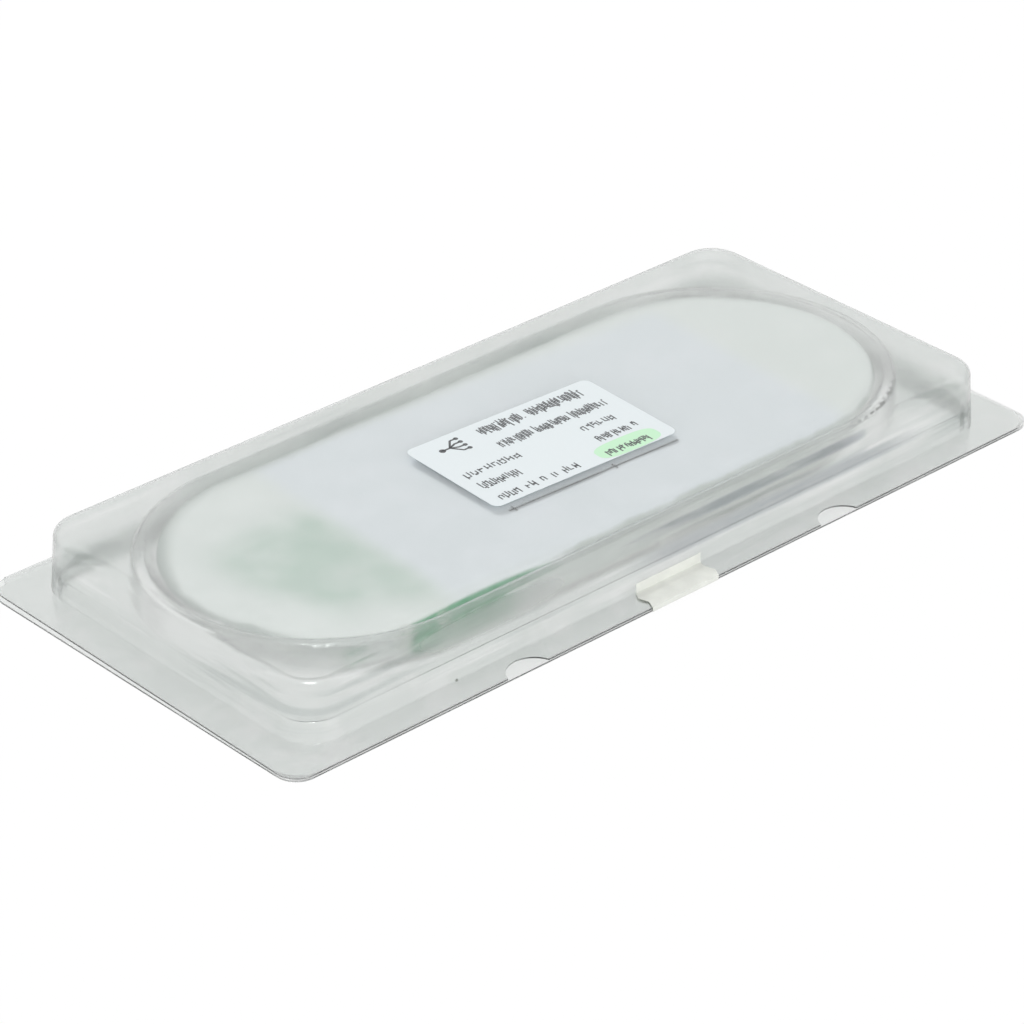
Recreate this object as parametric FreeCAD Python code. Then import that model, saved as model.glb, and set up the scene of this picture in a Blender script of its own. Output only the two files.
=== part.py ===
"""A 1x4 PLC fibre splitter with five SC/APC connectors in its folded clear clamshell.

Millimetres, +Z up, +X along the pack, -Y towards the taped front edge. The origin is at the
middle of the pack's footprint, on the underside of the well's floor.
"""

import FreeCAD
import Part

import math
import os

from FreeCAD import Vector

# Clamshell: one formed sheet, folded along its back edge.
SHEET = 0.35  # thickness of the clear film
PACK_LENGTH = 212.0
PACK_DEPTH = 98.0
FLANGE_CORNER = 5.0
FLANGE_LIFT = 0.3  # the lower flange stands this far above the well's floor
FOLD_GAP = 1.3  # between the two flanges at the back fold
FRONT_GAP = 0.2  # between the two flanges at the taped front
LID_LENGTH = 196.0
LID_DEPTH = 85.6
LID_CORNER = 9.0
LID_HEIGHT = 13.4  # above the upper flange
LID_DRAFT = 1.0  # how far each wall leans in over its height
LID_EDGE = 1.8  # radius of the lid's top edge
STEP_LENGTH = 193.4  # the low step that the lid's box fits over
STEP_DEPTH = 83.0
STEP_CORNER = 8.0
STEP_TOP = 5.2
STEP_DRAFT = 0.3
STEP_EDGE = 0.6
RIM_TOP = 13.2  # the rounded rim that stands up from the step, round the well
RIM_CENTRE = 56.6
RIM_OUTER_FOOT = 39.2
RIM_OUTER_TOP = 38.8
RIM_OUTER_EDGE = 1.0
RIM_INNER_EDGE = 1.2
WELL_TOP_RADIUS = 36.4
WELL_FOOT_RADIUS = 32.0
WELL_FOOT_CENTRE = 50.5
WELL_FOOT_FILLET = 3.0
NOTCH_RADIUS = 5.8
NOTCH_DEPTH = 4.0
NOTCH_PLACES = (-45.4, 43.8)

# Foam, paper, label and tape.
FOAM_RADIUS = 34.4
FOAM_CENTRE = 56.0
FOAM_MIDDLE = 0.4  # how far the pad lies off the middle, along X
FOAM_BOTTOM = 10.65
FOAM_TOP = 13.45
FOAM_EDGE = 0.9
PAPER_SIZE = (112.0, 60.0)
PAPER_THICKNESS = 0.2
PAPER_CENTRE = (6.0, 0.0)
PAPER_TURN = -3.5
LABEL_SIZE = (50.4, 30.0)
LABEL_THICKNESS = 0.1
LABEL_CORNER = 2.0
LABEL_CENTRE = (2.7, -1.3)
LABEL_TURN = -2.6
TAPE_THICKNESS = 0.08
TAPE_LEFT = -10.0
TAPE_RIGHT = 8.0
TAPE_CLIMB = 2.2  # how far the strip goes up the lid's wall
TAPE_REACH_UNDER = 6.5

# Splitter module: a flat steel tube with the glass parts inside.
FLOOR_CLEARANCE = 0.1
FLOOR_TOP = SHEET + FLOOR_CLEARANCE
TUBE_SIZE = (60.0, 7.0, 4.0)
TUBE_WALL = 0.4
TUBE_LEFT = -1.5
PLUG_LENGTH = 3.0  # each end plug outside the tube
PLUG_INSIDE = 2.5
CHIP_LENGTH = 16.0
ARRAY_LENGTH = 7.0
GLASS_WIDTH = 2.5
GLASS_HEIGHT = 2.0
GLUE_GAP = 0.02
FIBRE_DIAMETER = 0.9
FIBRE_PITCH = 1.1

# SC/APC connectors, with their mating ends towards -X.
GRIP_LENGTH = 25.0
GRIP_WIDTH = 7.4
GRIP_HEIGHT = 9.0
GRIP_CORNER = 0.7
KEY_WIDTH = 2.4
KEY_HEIGHT = 0.9
KEY_LENGTH = 10.5
FRAME_WIDTH = 5.8
FRAME_HEIGHT = 7.2
FRAME_FRONT = -3.5
FRAME_BACK = 21.0
SLIDE_CLEARANCE = 0.25
SLIDE_TRAVEL = 1.6
FERRULE_DIAMETER = 2.5
FERRULE_TIP = -4.4
FERRULE_BACK = 13.0
APC_ANGLE = 8.0
BOOT_END = 41.0
CONNECTORS = {  # the place of each grip's front end: X, Y
    "input": (-57.5, -24.8),
    "output_1": (-74.5, 6.6),
    "output_2": (-75.0, -1.3),
    "output_3": (-73.5, -9.2),
    "output_4": (-68.5, -17.1),
}

# Coiled fibres: one flat ring for each fibre, stacked.
COIL_CENTRES = (3.0, 56.0)
COIL_RADIUS = 21.0
COIL_WIDTH = 3.7
COIL_HEIGHT = 1.85
COIL_STEP = 1.95
TAIL_BEND = 9.0  # how far each fibre swings to one side as it leaves the module

UP = Vector(0, 0, 1)
ALONG = Vector(1, 0, 0)


def plate(face, height):
    return face.extrude(Vector(0, 0, height))


def rounded_wire(length, depth, radius, z, y_middle=0.0):
    """A rectangle with round corners, centred in X."""
    x = length / 2
    y = depth / 2
    edges = []
    corners = ((x, -y, -90), (x, y, 0), (-x, y, 90), (-x, -y, 180))
    points = []
    for cx, cy, start in corners:
        middle = Vector(cx - math.copysign(radius, cx), cy - math.copysign(radius, cy) + y_middle, z)
        arc = [middle + polar(radius, start + turn) for turn in (0, 45, 90)]
        points.append(arc)
    for i, arc in enumerate(points):
        edges.append(Part.Arc(*arc).toShape())
        edges.append(Part.makeLine(arc[2], points[(i + 1) % 4][0]))
    return Part.Wire(edges)


def polar(radius, degrees):
    turn = math.radians(degrees)
    return Vector(radius * math.cos(turn), radius * math.sin(turn), 0)


def stadium_wire(left, right, radius, z):
    """Two half circles about (left, 0) and (right, 0), joined by straight sides."""
    at_right = Vector(right, 0, z)
    at_left = Vector(left, 0, z)
    right_arc = [at_right + polar(radius, turn) for turn in (-90, 0, 90)]
    left_arc = [at_left + polar(radius, turn) for turn in (90, 180, 270)]
    return Part.Wire([
        Part.Arc(*right_arc).toShape(),
        Part.makeLine(right_arc[2], left_arc[0]),
        Part.Arc(*left_arc).toShape(),
        Part.makeLine(left_arc[2], right_arc[0]),
    ])


def loft(*wires):
    return Part.makeLoft(list(wires), True, True)


def edges_at(shape, z, tolerance=0.01):
    """The edges that lie flat at one height."""
    found = []
    for edge in shape.Edges:
        box = edge.BoundBox
        if abs(box.ZMin - z) < tolerance and abs(box.ZMax - z) < tolerance:
            found.append(edge)
    return found


def raised_box(length, depth, corner, low, high, draft, edge, inset=0.0):
    """A drafted block with round corners and a round top edge, drawn in by inset on every side but the base."""
    top = high - inset
    base = rounded_wire(length - 2 * inset, depth - 2 * inset, corner - inset, low)
    crown = rounded_wire(
        length - 2 * draft - 2 * inset, depth - 2 * draft - 2 * inset, corner - draft - inset, top
    )
    block = loft(base, crown)
    return block.makeFillet(edge - inset, edges_at(block, top))


def well(outset, low):
    """The well's inner space, or with outset, the outside of its wall; low is the height of its floor."""
    bowl = loft(
        stadium_wire(-WELL_FOOT_CENTRE, WELL_FOOT_CENTRE, WELL_FOOT_RADIUS + outset, low),
        stadium_wire(-RIM_CENTRE, RIM_CENTRE, WELL_TOP_RADIUS + outset, RIM_TOP),
    )
    return bowl.makeFillet(WELL_FOOT_FILLET + outset, edges_at(bowl, low))


def mound(inset, bowl):
    """The low step with the well's rim standing on it, open over the bowl, drawn in by inset."""
    step = raised_box(
        STEP_LENGTH, STEP_DEPTH, STEP_CORNER, FLANGE_LIFT, STEP_TOP, STEP_DRAFT, STEP_EDGE, inset
    )
    top = RIM_TOP - inset
    rim = loft(
        stadium_wire(-RIM_CENTRE, RIM_CENTRE, RIM_OUTER_FOOT - inset, FLANGE_LIFT),
        stadium_wire(-RIM_CENTRE, RIM_CENTRE, RIM_OUTER_TOP - inset, top),
    )
    rim = rim.makeFillet(RIM_OUTER_EDGE - inset, edges_at(rim, top))
    body = step.fuse(rim).cut(bowl)
    inner = [edge for edge in edges_at(body, top) if edge.BoundBox.YMax < WELL_TOP_RADIUS + 1]
    return body.makeFillet(RIM_INNER_EDGE - inset, inner)


def flange(low):
    """One flange sheet; its back edge stops where the fold begins."""
    fold = fold_radius()
    depth = PACK_DEPTH - fold
    wire = rounded_wire(PACK_LENGTH, depth, FLANGE_CORNER, low, -fold / 2)
    return plate(Part.Face(wire), SHEET)


def fold_radius():
    return SHEET + FOLD_GAP / 2


def tray():
    """The lower half: flange, low step, rounded rim and the oval well that holds everything."""
    outside = well(SHEET, 0.0)
    inside = well(0.0, SHEET)
    above = mound(0.0, inside)
    below = mound(SHEET, outside)
    floor_zone = Part.makeBox(PACK_LENGTH, PACK_DEPTH, STEP_TOP, Vector(-PACK_LENGTH / 2, -PACK_DEPTH / 2, -1))
    floor = outside.cut(inside).common(floor_zone)
    sheet = above.fuse(flange(FLANGE_LIFT)).cut(below).cut(outside.common(floor_zone))
    return sheet.fuse(floor)


def lid_turn():
    """How far the closed lid leans down towards the front, in degrees."""
    reach = PACK_DEPTH - fold_radius()
    return math.degrees(math.atan2(FOLD_GAP - FRONT_GAP, reach))


def lid_low():
    return FLANGE_LIFT + SHEET + FOLD_GAP


def lid_top():
    return lid_low() + SHEET + LID_HEIGHT


def close_lid(shape):
    """Turns a shape made on the level lid about the back fold, to where the closed lid lies."""
    pivot = Vector(0, PACK_DEPTH / 2 - fold_radius(), FLANGE_LIFT + fold_radius())
    shape.rotate(pivot, ALONG, lid_turn())
    return shape


def lid():
    """The upper half: flange with two thumb notches, and the raised box."""
    low = lid_low()
    outer = raised_box(LID_LENGTH, LID_DEPTH, LID_CORNER, low, lid_top(), LID_DRAFT, LID_EDGE)
    inner = raised_box(LID_LENGTH, LID_DEPTH, LID_CORNER, low, lid_top(), LID_DRAFT, LID_EDGE, SHEET)
    shell = outer.fuse(flange(low)).cut(inner)
    for x in NOTCH_PLACES:
        y = -PACK_DEPTH / 2 + NOTCH_DEPTH - NOTCH_RADIUS
        shell = shell.cut(Part.makeCylinder(NOTCH_RADIUS, 3 * SHEET, Vector(x, y, low - SHEET), UP))
    return close_lid(shell)


def back_fold():
    """The half-round bend that joins the two flanges."""
    outer = fold_radius()
    length = PACK_LENGTH - 2 * FLANGE_CORNER
    start = Vector(-length / 2, PACK_DEPTH / 2 - outer, FLANGE_LIFT + outer)
    ring = Part.makeCylinder(outer, length, start, ALONG)
    ring = ring.cut(Part.makeCylinder(outer - SHEET, length, start, ALONG))
    lap = 0.02  # how far the bend reaches into the flanges
    behind = Part.makeBox(length, outer + lap, 2 * outer, start - Vector(0, lap, outer))
    return ring.common(behind)


def clamshell():
    return tray().fuse([lid(), back_fold()]).removeSplitter()


def foam_pad():
    wire = stadium_wire(FOAM_MIDDLE - FOAM_CENTRE, FOAM_MIDDLE + FOAM_CENTRE, FOAM_RADIUS, FOAM_BOTTOM)
    pad = plate(Part.Face(wire), FOAM_TOP - FOAM_BOTTOM)
    return pad.makeFillet(FOAM_EDGE, edges_at(pad, FOAM_TOP))


def turned(shape, centre, degrees):
    shape.rotate(Vector(0, 0, 0), UP, degrees)
    shape.translate(Vector(centre[0], centre[1], 0))
    return shape


def info_sheet():
    low = FOAM_BOTTOM - 0.05 - PAPER_THICKNESS
    sheet = plate(Part.Face(rounded_wire(*PAPER_SIZE, 0.5, low)), PAPER_THICKNESS)
    return turned(sheet, PAPER_CENTRE, PAPER_TURN)


def label():
    wire = rounded_wire(*LABEL_SIZE, LABEL_CORNER, lid_top())
    sticker = plate(Part.Face(wire), LABEL_THICKNESS)
    return close_lid(turned(sticker, LABEL_CENTRE, LABEL_TURN))


def seal_tape():
    """A strip folded round the front edge of both flanges and a little way up the lid's wall."""
    front = -PACK_DEPTH / 2 - 0.02
    wall = -LID_DEPTH / 2 - 0.03
    slope = math.tan(math.radians(lid_turn()))
    lean = LID_DRAFT * TAPE_CLIMB / LID_HEIGHT - slope * TAPE_CLIMB
    thick = TAPE_THICKNESS
    top = FLANGE_LIFT + 2 * SHEET + FRONT_GAP + 0.02
    rise = slope * (wall - front)
    low = FLANGE_LIFT - 0.01
    back_low = front + TAPE_REACH_UNDER
    corners = [
        (wall + lean, top + rise + TAPE_CLIMB), (wall, top + rise), (front, top), (front, low),
        (back_low, low), (back_low, low - thick), (front - thick, low - thick),
        (front - thick, top + thick), (wall - thick, top + rise + thick),
        (wall + lean - thick, top + rise + TAPE_CLIMB),
    ]
    points = [Vector(TAPE_LEFT - 2, y, z) for y, z in corners]
    strip = Part.Face(Part.makePolygon(points + points[:1])).extrude(
        Vector(TAPE_RIGHT - TAPE_LEFT + 4, 0, 0)
    )
    return strip.common(torn_outline())


def torn_outline():
    """A tall prism whose left and right sides wave as a hand-torn tape end does."""
    front = -PACK_DEPTH / 2
    left = [(-1.2, 0.0), (-0.1, 2.4), (-0.8, 4.8), (0.6, 7.0), (1.4, 9.5)]
    right = [(0.4, 9.5), (1.1, 7.2), (0.2, 5.0), (0.9, 2.2), (-0.3, 0.0)]
    ends = [Vector(TAPE_LEFT + dx, front + dy - 0.3, -1) for dx, dy in left]
    ends += [Vector(TAPE_RIGHT + dx, front + dy - 0.3, -1) for dx, dy in right]
    wire = Part.makePolygon(ends + ends[:1])
    return Part.Face(wire).extrude(Vector(0, 0, 8))


def tube_axis():
    return FLOOR_TOP + TUBE_SIZE[2] / 2


def flat_bar(x, length, width, height, corner):
    """A bar along X with round long edges, centred on the module's axis."""
    bar = Part.makeBox(length, width, height, Vector(x, -width / 2, tube_axis() - height / 2))
    if corner:
        long_edges = [e for e in bar.Edges if abs(e.tangentAt(e.FirstParameter).x) > 0.99]
        bar = bar.makeFillet(corner, long_edges)
    return bar


def splitter_tube():
    length, width, height = TUBE_SIZE
    outer = flat_bar(TUBE_LEFT, length, width, height, 1.2)
    inner = flat_bar(TUBE_LEFT, length, width - 2 * TUBE_WALL, height - 2 * TUBE_WALL, 0.8)
    return outer.cut(inner)


def end_plug(at_left):
    """A soft plug in one end of the steel tube, where the fibres come out."""
    length, width, height = TUBE_SIZE
    inner_width = width - 2 * TUBE_WALL - 0.04
    inner_height = height - 2 * TUBE_WALL - 0.04
    if at_left:
        inside = TUBE_LEFT
        outside = TUBE_LEFT - PLUG_LENGTH
    else:
        inside = TUBE_LEFT + length - PLUG_INSIDE
        outside = TUBE_LEFT + length
    stem = flat_bar(inside, PLUG_INSIDE, inner_width, inner_height, 0.85)
    head = flat_bar(outside, PLUG_LENGTH, width - 0.8, height - 0.8, 1.0)
    return stem.fuse(head).removeSplitter()


def glass_parts():
    """The chip and the two fibre arrays glued to its ends, inside the tube."""
    middle = TUBE_LEFT + TUBE_SIZE[0] / 2
    chip_left = middle - CHIP_LENGTH / 2
    chip = flat_bar(chip_left, CHIP_LENGTH, GLASS_WIDTH, GLASS_HEIGHT, 0)
    left = flat_bar(chip_left - GLUE_GAP - ARRAY_LENGTH, ARRAY_LENGTH, GLASS_WIDTH, GLASS_HEIGHT, 0)
    right = flat_bar(chip_left + CHIP_LENGTH + GLUE_GAP, ARRAY_LENGTH, GLASS_WIDTH, GLASS_HEIGHT, 0)
    return {"plc_chip": chip, "input_fibre_array": left, "output_fibre_array": right}


def bar_along_x(x0, x1, width, height, corner=0.0):
    """A bar of the connector, centred on the connector's axis."""
    bar = Part.makeBox(x1 - x0, width, height, Vector(x0, -width / 2, -height / 2))
    if corner:
        long_edges = [e for e in bar.Edges if abs(e.tangentAt(e.FirstParameter).x) > 0.99]
        bar = bar.makeFillet(corner, long_edges)
    return bar


def rod(x0, x1, diameter):
    return Part.makeCylinder(diameter / 2, x1 - x0, Vector(x0, 0, 0), ALONG)


def grip():
    """The sliding outer housing, with its key, finger ribs and side windows."""
    body = bar_along_x(0, GRIP_LENGTH, GRIP_WIDTH, GRIP_HEIGHT, GRIP_CORNER)
    key = Part.makeBox(KEY_LENGTH, KEY_WIDTH, KEY_HEIGHT + 0.5)
    key.translate(Vector(1.5, -KEY_WIDTH / 2, GRIP_HEIGHT / 2 - 0.5))
    body = body.fuse(key)
    for side in (-1, 1):
        for i in range(6):
            groove = Part.makeBox(0.7, 0.5, GRIP_HEIGHT - 2.6)
            y = side * GRIP_WIDTH / 2 - 0.25
            groove.translate(Vector(13.6 + 1.6 * i, y, 1.3 - GRIP_HEIGHT / 2))
            body = body.cut(groove)
    hollow = bar_along_x(
        -1, GRIP_LENGTH + 1, FRAME_WIDTH + 2 * SLIDE_CLEARANCE, FRAME_HEIGHT + 2 * SLIDE_CLEARANCE, 0.3
    )
    window = Part.makeBox(3.2, GRIP_WIDTH + 2, 3.4, Vector(6.2, -GRIP_WIDTH / 2 - 1, -1.7))
    return body.cut(hollow).cut(window)


def plug_frame():
    """The inner plug body: a chamfered nose, a pocket for the sleeve, and latch shoulders."""
    body = bar_along_x(FRAME_FRONT, FRAME_BACK, FRAME_WIDTH, FRAME_HEIGHT)
    nose = [e for e in body.Edges if abs(e.BoundBox.XMax - FRAME_FRONT) < 0.01]
    body = body.makeChamfer(0.6, nose)
    pocket = rod(FRAME_FRONT - 1, 2.5, 5.0)
    throat = rod(0, 6, FERRULE_DIAMETER + 0.2)
    chamber = rod(5.5, FRAME_BACK + 1, 4.6)
    body = body.cut(pocket).cut(throat).cut(chamber)
    recess = Part.makeBox(2.4, FRAME_WIDTH + 2, 2.6, Vector(6.6, -FRAME_WIDTH / 2 - 1, -1.3))
    core = Part.makeBox(2.4, 5.2, 2.6, Vector(6.6, -2.6, -1.3))
    return body.cut(recess.cut(core))


def ferrule():
    """The 2.5 mm ceramic ferrule with its collar and angled, polished tip."""
    pin = rod(FERRULE_TIP, FERRULE_BACK, FERRULE_DIAMETER)
    collar = rod(6.2, 9.4, 4.2)
    body = pin.fuse(collar)
    wedge = Part.makeBox(3, 6, 8, Vector(-3, -3, -4))
    wedge.rotate(Vector(0, 0, 0), Vector(0, 1, 0), APC_ANGLE)
    wedge.translate(Vector(FERRULE_TIP + 0.25, 0, 0))
    return body.cut(wedge)


def boot():
    """The tapered strain relief, with the rings that let it bend."""
    outline = [
        (16.0, 0.0), (16.0, 2.25), (21.05, 2.25), (21.05, 2.7), (24.0, 2.7), (29.0, 2.2),
        (29.0, 1.6), (30.2, 1.6), (30.2, 2.0), (34.0, 1.7), (34.0, 1.2), (35.2, 1.2),
        (35.2, 1.5), (BOOT_END, 1.0), (BOOT_END, 0.0),
    ]
    points = [Vector(x, 0, r) for x, r in outline]
    return Part.Face(Part.makePolygon(points + points[:1])).revolve(Vector(0, 0, 0), ALONG, 360)


def dust_cap():
    """The push-on cap: its stem covers the ferrule and its flange stops on the frame."""
    outline = [
        (2.0, 1.28), (2.0, 2.3), (FRAME_FRONT - 0.05, 2.3), (FRAME_FRONT - 0.05, 2.9),
        (FRAME_FRONT - 1.2, 2.9), (FRAME_FRONT - 1.2, 2.2), (-7.6, 2.0), (-8.2, 1.4),
        (-8.2, 0.0), (FERRULE_TIP - 0.4, 0.0), (FERRULE_TIP - 0.4, 1.28),
    ]
    points = [Vector(x, 0, r) for x, r in outline]
    return Part.Face(Part.makePolygon(points + points[:1])).revolve(Vector(0, 0, 0), ALONG, 360)


def connectors():
    pieces = {
        "grip": grip(), "plug_frame": plug_frame(), "ferrule": ferrule(), "boot": boot(),
        "dust_cap": dust_cap(),
    }
    nodes = {}
    for name, (x, y) in CONNECTORS.items():
        for piece, shape in pieces.items():
            placed = shape.copy()
            placed.translate(Vector(x, y, FLOOR_TOP + GRIP_HEIGHT / 2))
            nodes[f"{name}_connector_{piece}"] = placed
    return nodes


def coil_ring(low):
    """The space that one coiled fibre fills: a flat ring in the shape of a racetrack."""
    outer = stadium_wire(*COIL_CENTRES, COIL_RADIUS + COIL_WIDTH / 2, low)
    inner = stadium_wire(*COIL_CENTRES, COIL_RADIUS - COIL_WIDTH / 2, low)
    return plate(Part.Face(outer), COIL_HEIGHT).cut(plate(Part.Face(inner), COIL_HEIGHT))


def fibre_bend(start, heading, centre, degrees):
    """A bend in a fibre: its round section carried about an upright axis."""
    section = Part.Face(Part.Wire(Part.makeCircle(FIBRE_DIAMETER / 2, start, heading)))
    return section.revolve(centre, UP, degrees)


def fibre_run(start, end):
    return Part.makeCylinder(FIBRE_DIAMETER / 2, (end - start).Length, start, end - start)


def fibre_tube(points, turn_share=0.45):
    """A level fibre along straight runs joined by tangent bends, each as large as its runs allow."""
    here = points[0]
    pieces = []
    radii = []
    for before, corner, after in zip(points, points[1:], points[2:]):
        heading = (corner - before).normalize()
        leaving = (after - corner).normalize()
        turn = heading.getAngle(leaving)
        side = math.copysign(1.0, heading.cross(leaving).z)
        reach = turn_share * min((corner - before).Length, (after - corner).Length)
        radius = reach / math.tan(turn / 2)
        start = corner - heading * reach
        centre = start + UP.cross(heading) * radius * side
        pieces.append(fibre_run(here, start))
        pieces.append(fibre_bend(start, heading, centre, side * math.degrees(turn)))
        radii.append(round(radius, 1))
        here = corner + leaving * reach
    pieces.append(fibre_run(here, points[-1]))
    print("fibre lead: bend radii", radii)
    return pieces[0].fuse(pieces[1:])


def connector_leads():
    """Each fibre from its boot to the coil's outer side."""
    z = FLOOR_TOP + GRIP_HEIGHT / 2
    routes = {
        "input": [(-11, -24.8), (-3, -26.0), (8, -25.8), (18, -24.6), (28, -23.8)],
        "output_1": [(-28.5, 6.6), (-21.5, 12.8), (-13, 21.4), (-4, 25.0), (5, 25.2)],
        "output_2": [(-29, -1.3), (-22.5, 4.6), (-18, 12.4), (-12.3, 18.6), (-6, 22.4)],
        "output_3": [(-27.5, -9.2), (-21, -12.6), (-14, -17.6), (-6.5, -21.6)],
        "output_4": [(-22, -17.1), (-14, -20.4), (-6, -23.4), (2, -24.4)],
    }
    nodes = {}
    for name, route in routes.items():
        x, y = CONNECTORS[name]
        points = [(x + BOOT_END, y)] + route
        nodes[f"{name}_fibre_lead"] = fibre_tube([Vector(x, y, z) for x, y in points])
    return nodes


def tail(start, leftwards, coil_x):
    """A fibre on one bend, from the module's end plug until it meets the coil's inner side.

    It swings to the side of the module that it starts on.
    """
    side = -1 if start.y < 0 else 1
    centre = Vector(start.x, side * TAIL_BEND, start.z)
    radius = TAIL_BEND - abs(start.y)
    inner = COIL_RADIUS - COIL_WIDTH / 2 - FIBRE_DIAMETER / 2 - 0.1
    offset = Vector(abs(start.x - coil_x), TAIL_BEND, 0)
    facing = math.degrees(math.atan2(offset.y, offset.x))
    reach = (inner ** 2 - offset.Length ** 2 - radius ** 2) / (2 * radius * offset.Length)
    turn = 90 + facing - math.degrees(math.acos(min(1.0, reach)))
    heading = -ALONG if leftwards else ALONG
    print("fibre tail: bend radius %.1f" % radius)
    return fibre_bend(start, heading, centre, -side * turn if leftwards else side * turn)


def module_tails():
    """The input fibre and the four output fibres where they leave the steel tube."""
    z = tube_axis()
    left = TUBE_LEFT - PLUG_LENGTH
    right = TUBE_LEFT + TUBE_SIZE[0] + PLUG_LENGTH
    nodes = {"input_fibre_tail": tail(Vector(left, 0, z), True, COIL_CENTRES[0])}
    for i, place in enumerate((0.5, 1.5, -0.5, -1.5), 1):
        start = Vector(right, place * FIBRE_PITCH, z)
        nodes[f"output_{i}_fibre_tail"] = tail(start, False, COIL_CENTRES[1])
    return nodes


def coils():
    names = ["input_fibre_coil"] + [f"output_{i}_fibre_coil" for i in range(1, 5)]
    return {name: coil_ring(FLOOR_TOP + i * COIL_STEP) for i, name in enumerate(names)}


def build():
    nodes = {
        "clamshell": clamshell(),
        "foam_pad": foam_pad(),
        "info_sheet": info_sheet(),
        "label": label(),
        "seal_tape": seal_tape(),
        "splitter_tube": splitter_tube(),
        "input_end_plug": end_plug(True),
        "output_end_plug": end_plug(False),
    }
    nodes.update(glass_parts())
    nodes.update(connectors())
    nodes.update(coils())
    nodes.update(connector_leads())
    nodes.update(module_tails())
    return nodes


def main():
    os.makedirs("parts", exist_ok=True)
    for name, shape in build().items():
        solids = shape.Solids
        print("%-32s solids %d valid %s volume %.1f" % (name, len(solids), shape.isValid(), shape.Volume))
        if len(solids) == 1:
            shape = solids[0]
        shape.exportStep(f"parts/{name}.step")


main()
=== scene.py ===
"""Looks of a 1x4 PLC fibre splitter packed in a folded clear clamshell.

Each piece has its own operator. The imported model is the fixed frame: places come from its boxes
and from the same named sizes that its source uses, here in millimetres and turned to metres.
"""

import math
import random

import bmesh
import bpy
from bpy.props import (
    FloatProperty,
    FloatVectorProperty,
    IntProperty,
    PointerProperty,
)
from mathutils import Matrix, Vector


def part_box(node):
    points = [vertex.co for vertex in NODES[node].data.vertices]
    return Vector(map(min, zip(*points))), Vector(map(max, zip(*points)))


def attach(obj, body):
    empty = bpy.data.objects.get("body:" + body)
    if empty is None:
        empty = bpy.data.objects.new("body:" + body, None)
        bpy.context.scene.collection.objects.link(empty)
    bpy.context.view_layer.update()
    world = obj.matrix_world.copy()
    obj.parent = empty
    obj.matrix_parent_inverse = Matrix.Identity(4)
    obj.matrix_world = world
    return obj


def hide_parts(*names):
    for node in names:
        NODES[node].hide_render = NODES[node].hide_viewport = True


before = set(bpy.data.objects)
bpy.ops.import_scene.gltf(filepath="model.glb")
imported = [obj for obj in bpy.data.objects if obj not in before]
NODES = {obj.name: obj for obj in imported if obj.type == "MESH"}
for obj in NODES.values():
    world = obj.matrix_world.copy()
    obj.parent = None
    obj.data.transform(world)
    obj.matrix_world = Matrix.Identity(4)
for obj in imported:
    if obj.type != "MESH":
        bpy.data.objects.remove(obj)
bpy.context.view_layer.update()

bl_info = {
    "name": "Fibre Splitter Pack",
    "version": (1, 0, 0),
    "blender": (4, 5, 0),
    "location": "View3D > Sidebar > Splitter Pack",
    "description": "Dresses a 1x4 fibre splitter in its clear clamshell",
    "category": "Object",
}

MM = 0.001
CONNECTORS = ("input", "output_1", "output_2", "output_3", "output_4")

# Sizes shared with the solids, in millimetres.
PACK_DEPTH = 98.0
SHEET = 0.35
FLANGE_LIFT = 0.3
FOLD_GAP = 1.3
FRONT_GAP = 0.2
LID_HEIGHT = 13.4
LABEL_SIZE = (50.4, 30.0)
LABEL_THICKNESS = 0.1
LABEL_CENTRE = (2.7, -1.3)
LABEL_TURN = -2.6
PAPER_SIZE = (112.0, 60.0)
PAPER_CENTRE = (6.0, 0.0)
PAPER_TURN = -3.5
FLANGE_CORNER = 7.0
FLOOR_TOP = 0.45
COIL_CENTRES = (3.0, 56.0)
COIL_RADIUS = 21.0
COIL_WIDTH = 3.7
COIL_STEP = 1.95
AXIS_HEIGHT = 2.45
CONNECTOR_HEIGHT = 4.95
TAIL_BEND = 9.0
WELL_CENTRE = 50.5  # the well's foot, where each end's half circle starts
RIM_CENTRE = 56.6  # the same for the rim round the well's top
FOAM_RADIUS = 34.4
FOAM_CENTRE = 56.0
FOAM_MIDDLE = 0.4
FOAM_BOTTOM = 10.65
FOAM_THICK = 2.8

# How the fibres are wound: turns, points for each turn, and where each fibre joins the coil.
COIL_TURNS = 7.70
TURN_POINTS = 26
JOIN_AT = 0.445
JOIN_RADIUS = 18.3
JITTER = 0.03  # how far a turn strays
DRAW = 1.012  # the spline cuts inside its points by this much on a bend
FIBRE_ROOM = 0.9  # each fibre's place in the coil
FIBRE_GAP = 0.027  # between places
RING_GAP = 0.01  # between the places and the sides of the fibre's own ring
FIRST_CHANGE = 0.93  # turns before a fibre goes over to its second place
SEAT_CHANGE = 0.04  # share of a turn that going over takes

# Print stands this far off the label, and the patch under it a little less.
PRINT_LIFT = 0.012
PATCH_LIFT = 0.006

# Printed rows on the label, from its left and top edges: left, top, length, height, pitch, weight.
PRINT_ROWS = (
    (17.9, 1.9, 29.4, 3.7, 0.95, 0.34),
    (17.7, 8.8, 30.2, 3.1, 0.91, 0.32),
    (3.9, 15.0, 16.0, 2.4, 1.90, 0.34),
    (35.6, 15.1, 9.4, 2.4, 1.55, 0.32),
    (3.7, 20.0, 11.5, 2.8, 1.30, 0.34),
    (35.2, 20.4, 11.2, 2.7, 1.12, 0.34),
    (3.7, 26.1, 22.0, 2.4, 1.45, 0.34),
    (32.8, 26.4, 12.8, 2.3, 1.07, 0.36),
)

# Two specks of dirt on the film.
DIRT = ((-58.9, -42.7, 1.4), (63.0, 37.2, 14.6))


# ---------------------------------------------------------------- places

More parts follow.
